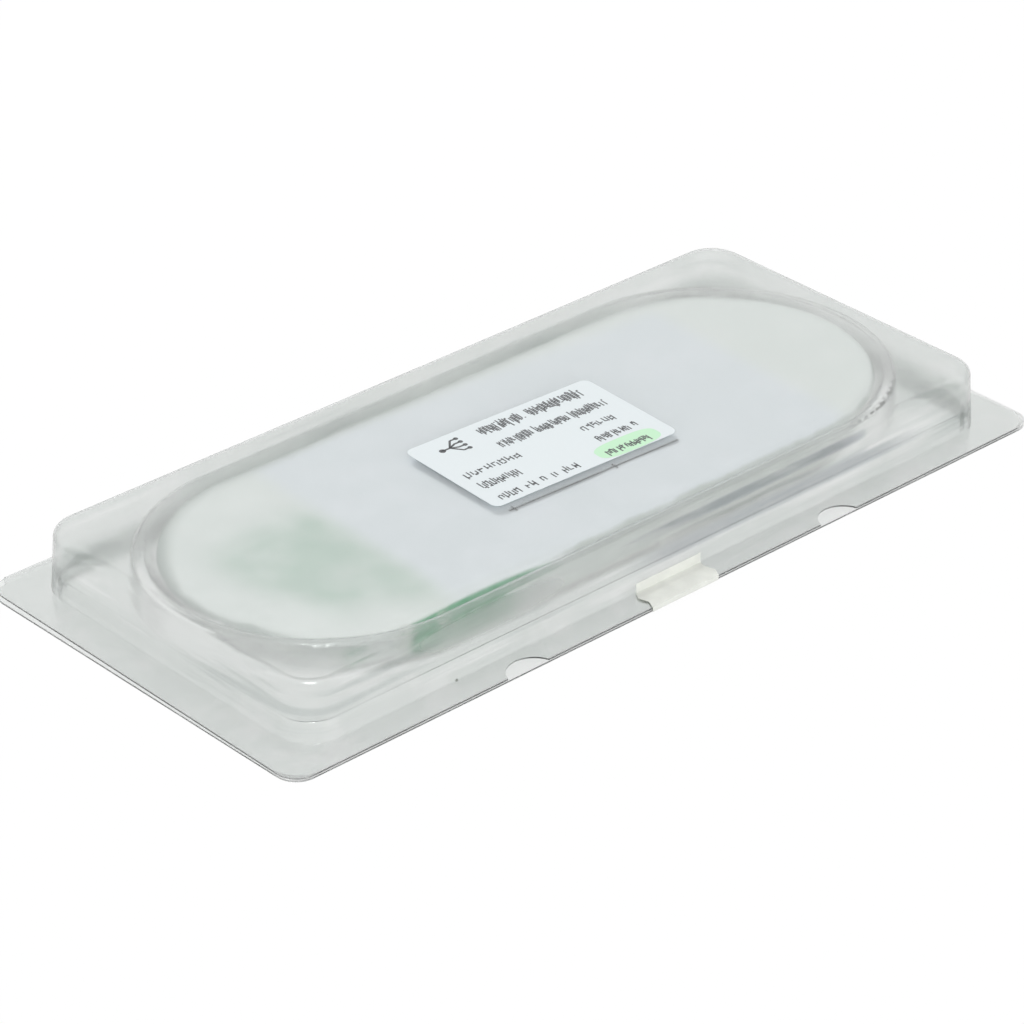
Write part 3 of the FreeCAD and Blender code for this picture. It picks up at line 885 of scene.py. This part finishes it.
def foam_material(given):
    """Foam that shows the paper and the green grips under it as soft fields of colour."""
    material, tree, shader = new_material("White Foam")
    spot = object_coordinates(tree)
    grain = use_group(tree, "Fine Grain", {
        "Vector": spot, "Scale": 700.0, "Depth": 0.0002, "Strength": 0.35,
    })
    cells = place(tree, "ShaderNodeTexVoronoi", {"Vector": spot, "Scale": 900.0})
    cell_share = product(tree, cells.outputs["Distance"], 0.5)
    pale = mixed(tree, cell_share, given.white, scaled(given.white, 0.96))
    # The paper's tint reaches a little past the paper, towards the front.
    centre = (PAPER_CENTRE[0] * MM, (PAPER_CENTRE[1] - 3) * MM, 0)
    paper = use_group(tree, "Soft Box", {
        "Vector": moved(tree, spot, centre, PAPER_TURN), "Length": PAPER_SIZE[0] * MM,
        "Width": (PAPER_SIZE[1] + 8) * MM, "Softness": 0.007,
    })["Mask"]
    cloud = noise(tree, spot, 90.0, 3.0)
    mottled = product(tree, over_connectors(tree, spot), eased(tree, cloud, 0.25, 0.7, 0.55, 1.0))
    greened = product(tree, mottled, sums(tree, "SUBTRACT", 1.0, paper))
    tone = mixed(tree, paper, pale, given.paper_tone)
    tone = mixed(tree, greened, tone, given.green_tone)
    # Painted shade round the pad's edge.
    tone = mixed(tree, pad_edge_shade(tree, spot, cloud), tone, given.edge_shade_tone)
    fill(tree, shader, {
        "Base Color": tone, "Roughness": 0.85, "Specular IOR Level": 0.2,
        "Normal": grain["Normal"],
    })
    return material


def pad_ring(inset, count=44):
    """Points round the pad's outline, drawn in by inset: two half circles and two sides."""
    radius = FOAM_RADIUS - inset
    points = []
    for end in (1, -1):
        for i in range(count):
            turn = math.pi * i / count - math.pi / 2
            x = FOAM_CENTRE + radius * math.cos(turn)
            points.append((FOAM_MIDDLE + end * x, end * radius * math.sin(turn)))
        for i in range(count):
            share = i / count
            points.append((FOAM_MIDDLE + end * FOAM_CENTRE * (1 - 2 * share), end * radius))
    return points


def pad_profile():
    """The pad's section as inset and height: out underneath, round the edge and back on top."""
    crown, rise = 2.6, 1.9
    section = [(FOAM_RADIUS, 0.0), (20.0, 0.0), (6.0, 0.0), (1.0, 0.0), (0.25, 0.2)]
    for i in range(6):
        turn = math.radians(18 * i)
        section.append((crown * (1 - math.cos(turn)), FOAM_THICK - rise + rise * math.sin(turn)))
    insets = (4.0, 6.5, 10.0, 14.0, 19.0, 25.0, 30.0, FOAM_RADIUS)
    return section + [(inset, FOAM_THICK) for inset in insets]


def hill(x, y, middle, spread):
    """A soft hill, one high at its middle."""
    return math.exp(-((x - middle[0]) / spread[0]) ** 2 - ((y - middle[1]) / spread[1]) ** 2)


def pad_sag(x, y):
    """How far the pad sinks: most where nothing holds it up, and by slow waves all over."""
    sag = 2.3 * hill(x, y, (-80.0, -28.0), (15.0, 9.0))
    sag += 0.5 * hill(x, y, (20.0, -38.0), (50.0, 5.0))
    waves = 0.10 * math.sin(x / 9.0 + 0.6) * math.cos(y / 7.0) + 0.07 * math.sin(x / 5.3 - y / 8.1)
    return sag + waves


def pad_mesh():
    """The pad as a soft sheet with a round edge, sagging over the open part of the well."""
    bm = bmesh.new()
    rings = []
    for inset, height in pad_profile():
        ring = []
        for x, y in pad_ring(inset):
            over_grip = hill(x, y, (-47.0, -35.0), (21.0, 6.0))
            raised = 0.7 * over_grip * (1 - height / FOAM_THICK)
            level = FOAM_BOTTOM + height - pad_sag(x, y) + raised
            ring.append(bm.verts.new((x * MM, (y + 1.1 * over_grip) * MM, level * MM)))
        rings.append(ring)
    for lower, upper in zip(rings, rings[1:]):
        for i in range(len(lower)):
            j = (i + 1) % len(lower)
            bm.faces.new((lower[i], lower[j], upper[j], upper[i]))
    bmesh.ops.remove_doubles(bm, verts=bm.verts, dist=0.00002)
    bmesh.ops.recalc_face_normals(bm, faces=bm.faces)
    for face in bm.faces:
        face.smooth = True
    return bm


class FoamOperator(PieceOperator, bpy.types.Operator):
    """Foam pad that lies over the fibres"""

    bl_idname = "splitter.foam"
    bl_label = "Foam Pad"

    def build(self):
        pad = add_piece("foam", pad_mesh(), foam_material(settings("foam")))
        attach(pad, "pack")
        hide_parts("foam_pad")


# ---------------------------------------------------------------- papers, label and print

def paper_material(name, tone):
    grain = (1500.0, 0.00003, 0.3)
    return grained_material(name, tone, 0.97, (0.5, 0.62), grain, {"Specular IOR Level": 0.35})


def ink_material(name, tone):
    material, tree, shader = new_material(name)
    fade = eased(tree, noise(tree, object_coordinates(tree), 2600.0, 2.0), 0.35, 0.7)
    base = mixed(tree, fade, tone, [0.6 * c + 0.18 for c in tone])
    fill(tree, shader, {"Base Color": base, "Roughness": 0.55, "Specular IOR Level": 0.3})
    return material


def glyph_tree():
    """Geometry Nodes: a row of small square signs, each a chance set of stems and bars, with gaps.

    They read as small print from afar and spell nothing.
    """
    tree = bpy.data.node_groups.new("Print Row", "GeometryNodeTree")
    tree.is_modifier = True
    face = tree.interface
    face.new_socket("Geometry", in_out="OUTPUT", socket_type="NodeSocketGeometry")
    for name, default in (("Length", 20.0), ("Height", 2.0), ("Pitch", 1.0), ("Weight", 0.2)):
        socket = face.new_socket(name, in_out="INPUT", socket_type="NodeSocketFloat")
        socket.default_value = default
    face.new_socket("Seed", in_out="INPUT", socket_type="NodeSocketInt")
    face.new_socket("Ink", in_out="INPUT", socket_type="NodeSocketMaterial")
    given = tree.nodes.new("NodeGroupInput").outputs
    out = tree.nodes.new("NodeGroupOutput")

    count = sums(tree, "FLOOR", sums(tree, "DIVIDE", given["Length"], given["Pitch"]))
    line = place(tree, "GeometryNodeMeshLine", {"Count": count}, mode="OFFSET")
    step = place(tree, "ShaderNodeCombineXYZ", {"X": given["Pitch"]}).outputs[0]
    tree.links.new(step, line.inputs["Offset"])
    index = place(tree, "GeometryNodeInputIndex").outputs[0]
    stroke = place(tree, "GeometryNodeMeshGrid", {
        "Size X": 1.0, "Size Y": 1.0, "Vertices X": 2, "Vertices Y": 2,
    }).outputs[0]
    together = place(tree, "GeometryNodeJoinGeometry")

    def random_value(shift):
        """A node that gives each cell its own chance value; shift picks another draw."""
        inputs = {"ID": index, "Seed": sums(tree, "ADD", given["Seed"], shift)}
        return place(tree, "FunctionNodeRandomValue", inputs, data_type="FLOAT")

    def left_out(points, shift, share):
        """The points without a share of them, chosen by chance."""
        gone = place(tree, "FunctionNodeCompare", {0: random_value(shift).outputs[1], 1: share},
                     data_type="FLOAT", operation="LESS_THAN").outputs[0]
        return place(tree, "GeometryNodeDeleteGeometry", {"Geometry": points, "Selection": gone},
                     domain="POINT").outputs[0]

    def chance(low, high, shift, scale):
        """A chance size from low to high, times the scale."""
        node = random_value(shift)
        node.inputs[2].default_value = low
        node.inputs[3].default_value = high
        return sums(tree, "MULTIPLY", node.outputs[1], scale)

    def add_strokes(points, wide, tall, aside, up):
        """One stroke at each point; its size and place are given as sockets."""
        shift = place(tree, "ShaderNodeCombineXYZ", {"X": aside, "Y": up}).outputs[0]
        spots = place(tree, "GeometryNodeSetPosition", {
            "Geometry": points, "Offset": shift,
        }).outputs[0]
        size = place(tree, "ShaderNodeCombineXYZ", {"X": wide, "Y": tall, "Z": 1.0}).outputs[0]
        copies = place(tree, "GeometryNodeInstanceOnPoints", {
            "Points": spots, "Instance": stroke, "Scale": size,
        }).outputs[0]
        tree.links.new(copies, together.inputs[0])

    cells = left_out(line.outputs[0], 1, 0.1)
    for shift, share, side in ((20, 0.05, -0.29), (30, 0.2, 0.29)):
        tall = chance(0.5, 1.0, shift, given["Height"])
        up = chance(-0.16, 0.16, shift + 1, given["Height"])
        aside = sums(tree, "MULTIPLY", given["Pitch"], side)
        add_strokes(left_out(cells, shift + 2, share), given["Weight"], tall, aside, up)
    for shift, share in ((40, 0.2), (50, 0.5)):
        wide = chance(0.3, 0.6, shift, given["Pitch"])
        up = chance(-0.42, 0.42, shift + 1, given["Height"])
        add_strokes(left_out(cells, shift + 2, share), wide, given["Weight"], 0.0, up)
    real = place(tree, "GeometryNodeRealizeInstances", {"Geometry": together.outputs[0]}).outputs[0]
    inked = place(tree, "GeometryNodeSetMaterial", {"Geometry": real, "Material": given["Ink"]})
    tree.links.new(inked.outputs[0], out.inputs[0])
    return tree


def baked(name, tree, values):
    """A plain mesh made by one Geometry Nodes tree, with its inputs set by name."""
    carrier = add_object(name, bpy.data.meshes.new(name))
    modifier = carrier.modifiers.new("Make", "NODES")
    modifier.node_group = tree
    for item in tree.interface.items_tree:
        if item.in_out == "INPUT" and item.name in values:
            modifier[item.identifier] = values[item.name]
    graph = bpy.context.evaluated_depsgraph_get()
    mesh = bpy.data.meshes.new_from_object(carrier.evaluated_get(graph))
    bpy.data.objects.remove(carrier)
    return mesh


def flat_disc(bm, middle, half, z=PRINT_LIFT, count=28, power=2.0):
    """A filled round or squarish patch; a higher power is squarer."""
    ring = []
    for i in range(count):
        turn = 2 * math.pi * i / count
        c, s = math.cos(turn), math.sin(turn)
        x = math.copysign(abs(c) ** (2 / power), c) * half[0]
        y = math.copysign(abs(s) ** (2 / power), s) * half[1]
        ring.append(bm.verts.new((middle[0] + x, middle[1] + y, z)))
    return bm.faces.new(ring)


def flat_bar(bm, start, end, width, z=PRINT_LIFT):
    """A level bar that faces up, from start to end."""
    a, b = Vector((*start, z)), Vector((*end, z))
    side = (b - a).normalized().cross(Vector((0, 0, 1))) * width / 2
    corners = [a - side, a + side, b + side, b - side]
    face = bm.faces.new([bm.verts.new(c) for c in corners])
    face.normal_update()
    if face.normal.z < 0:
        face.normal_flip()


def from_corner(left, top):
    """A point on the label, from its top left corner to its middle."""
    return left - LABEL_SIZE[0] / 2, LABEL_SIZE[1] / 2 - top


def split_mark():
    """A plain dark mark: one line that parts into four, the sign of a splitter."""
    bm = bmesh.new()
    x, y = from_corner(9.0, 5.0)
    flat_disc(bm, (x - 2.6, y), (0.75, 0.75))
    flat_bar(bm, (x - 2.6, y), (x - 0.6, y), 0.55)
    for rise in (-2.4, -0.8, 0.8, 2.4):
        flat_bar(bm, (x - 0.6, y), (x + 1.3, y + rise), 0.5)
        flat_bar(bm, (x + 1.2, y + rise), (x + 2.6, y + rise), 0.5)
        flat_disc(bm, (x + 2.9, y + rise), (0.55, 0.55))
    return bm


def add_ruled_line():
    """A thin ruled line with two ticks, drawn on the foam along the label's lower edge."""
    top = FOAM_BOTTOM + FOAM_THICK + 0.2
    ink = ink_material("Grey Ink", (0.03, 0.035, 0.035))
    bm = bmesh.new()
    start, end = Vector((-20.6, -16.5)), Vector((26.0, -18.6))
    flat_bar(bm, start, end, 0.45, top)
    across = (end - start).normalized().orthogonal()
    for share in (0.03, 0.62):
        middle = start.lerp(end, share)
        flat_bar(bm, middle - across * 1.0, middle + across * 1.1, 0.4, top)
    return add_piece("foam_line", bm, ink, Matrix.Scale(MM, 4))


class LabelOperator(PieceOperator, bpy.types.Operator):
    """Paper label on the lid and its plain print"""

    bl_idname = "splitter.label"
    bl_label = "Label"

    def build(self):
        given = settings("print")
        dress("label", paper_material("Label Paper", given.paper))
        ink = ink_material("Dark Ink", given.ink)
        patch_ink = paper_material("Pale Patch", given.patch)
        at = label_place()
        tree = glyph_tree()
        joined = bmesh.new()
        for i, (left, top, long, high, pitch, weight) in enumerate(PRINT_ROWS):
            row = baked("print_row", tree, {
                "Length": long, "Height": high, "Pitch": pitch, "Weight": weight,
                "Seed": given.seed + 17 * i, "Ink": ink,
            })
            x, y = from_corner(left, top + high / 2)
            row.transform(Matrix.Translation((x, y, PRINT_LIFT)))
            joined.from_mesh(row)
        print_piece = add_piece("label_print", joined, ink, at)
        mark = add_piece("label_mark", split_mark(), ink, at)
        bm = bmesh.new()
        flat_disc(bm, from_corner(38.6, 27.0), (8.4, 2.95), PATCH_LIFT, 48, 3.2)
        patch = add_piece("label_patch", bm, patch_ink, at)
        for piece in (print_piece, mark, patch, add_ruled_line()):
            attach(piece, "pack")


class PaperOperator(PieceOperator, bpy.types.Operator):
    """Folded paper under the foam"""

    bl_idname = "splitter.paper"
    bl_label = "Paper"

    def build(self):
        dress("info_sheet", paper_material("Plain Paper", (0.84, 0.86, 0.90)))


def tape_material(given):
    material, tree, shader = new_material("Cream Tape")
    creases = noise(tree, object_coordinates(tree), 260.0, 4.0)
    pale = [min(1.0, c * 1.08) for c in given.tape]
    fill(tree, shader, {
        "Base Color": mixed(tree, eased(tree, creases, 0.35, 0.7), given.tape, pale),
        "Roughness": eased(tree, creases, 0.3, 0.7, 0.4, 0.6),
        "Normal": bumped(tree, creases, 0.4, 0.0003),
    })
    return material


class TapeOperator(PieceOperator, bpy.types.Operator):
    """Strip of tape that holds the pack shut"""

    bl_idname = "splitter.tape"
    bl_label = "Tape"

    def build(self):
        dress("seal_tape", tape_material(settings("plastic")))


# ---------------------------------------------------------------- module and connectors

def plastic_material(name, tone, roughness, depth=0.00002):
    grain = (1800.0, depth, 0.3)
    return grained_material(name, tone, 0.92, (roughness, roughness + 0.08), grain)


def steel_material():
    material, tree, shader = new_material("Brushed Steel")
    lines = noise(tree, object_coordinates(tree), 1.0, 3.0, stretch=(60.0, 2600.0, 2600.0))
    fill(tree, shader, {
        "Base Color": mixed(tree, lines, (0.55, 0.56, 0.57), (0.66, 0.67, 0.68)),
        "Metallic": 1.0, "Roughness": eased(tree, lines, 0.3, 0.7, 0.24, 0.36),
        "Normal": bumped(tree, lines, 0.15, 0.00003),
    })
    return material


def glass_material():
    material, tree, shader = new_material("Silica Glass")
    cloud = noise(tree, object_coordinates(tree), 400.0, 2.0)
    fill(tree, shader, {
        "Base Color": mixed(tree, cloud, (0.86, 0.89, 0.90), (0.92, 0.94, 0.95)),
        "Roughness": 0.08, "Transmission Weight": 0.9, "IOR": 1.46,
    })
    return material


class ModuleOperator(PieceOperator, bpy.types.Operator):
    """Steel module with its plugs and glass parts"""

    bl_idname = "splitter.module"
    bl_label = "Module"

    def build(self):
        dress("splitter_tube", steel_material())
        soft = plastic_material("Soft Grey Plug", (0.34, 0.35, 0.36), 0.6, 0.00004)
        for node in ("input_end_plug", "output_end_plug"):
            dress(node, soft)
        glass = glass_material()
        for node in ("plc_chip", "input_fibre_array", "output_fibre_array"):
            dress(node, glass)


class ConnectorsOperator(PieceOperator, bpy.types.Operator):
    """Five angled connectors with their caps and boots"""

    bl_idname = "splitter.connectors"
    bl_label = "Connectors"

    def build(self):
        given = settings("plastic")
        finishes = {
            "grip": plastic_material("Green Grip", given.green, 0.3),
            "boot": plastic_material("Green Boot", given.green, 0.5, 0.00004),
            "plug_frame": plastic_material("White Frame", given.frame_white, 0.3),
            "dust_cap": plastic_material("Clear White Cap", given.cap, 0.35),
            "ferrule": plastic_material("White Ceramic", (0.88, 0.87, 0.84), 0.12),
        }
        for name in CONNECTORS:
            for piece, material in finishes.items():
                dress(f"{name}_connector_{piece}", material)


# ---------------------------------------------------------------- panel and registration

OPERATORS = (
    StageOperator, FibresOperator, FilmOperator, FoamOperator, PaperOperator, LabelOperator,
    TapeOperator, ModuleOperator, ConnectorsOperator,
)

SETTINGS = {
    "splitter_stage": StageSettings,
    "splitter_film": FilmSettings,
    "splitter_foam": FoamSettings,
    "splitter_print": PrintSettings,
    "splitter_fibre": FibreSettings,
    "splitter_plastic": PlasticSettings,
}


class SplitterPanel(bpy.types.Panel):
    """Lists each piece of the pack with its settings"""

    bl_idname = "VIEW3D_PT_splitter_pack"
    bl_label = "Splitter Pack"
    bl_space_type = "VIEW_3D"
    bl_region_type = "UI"
    bl_category = "Splitter Pack"

    def draw(self, context):
        for operator in OPERATORS:
            self.layout.operator(operator.bl_idname)
        for name, group in SETTINGS.items():
            box = self.layout.box()
            box.label(text=group.__name__.replace("Settings", ""))
            for key in group.__annotations__:
                box.prop(getattr(context.scene, name), key)


CLASSES = (*SETTINGS.values(), *OPERATORS, SplitterPanel)


def register():
    for item in CLASSES:
        bpy.utils.register_class(item)
    for name, group in SETTINGS.items():
        setattr(bpy.types.Scene, name, PointerProperty(type=group))


def unregister():
    for name in SETTINGS:
        delattr(bpy.types.Scene, name)
    for item in reversed(CLASSES):
        bpy.utils.unregister_class(item)


def main():
    register()
    build_fine_grain()
    build_soft_box()
    build_film_wear()
    for operator in OPERATORS:
        group, name = operator.bl_idname.split(".")
        getattr(getattr(bpy.ops, group), name)()


if __name__ == "__main__":
    main()
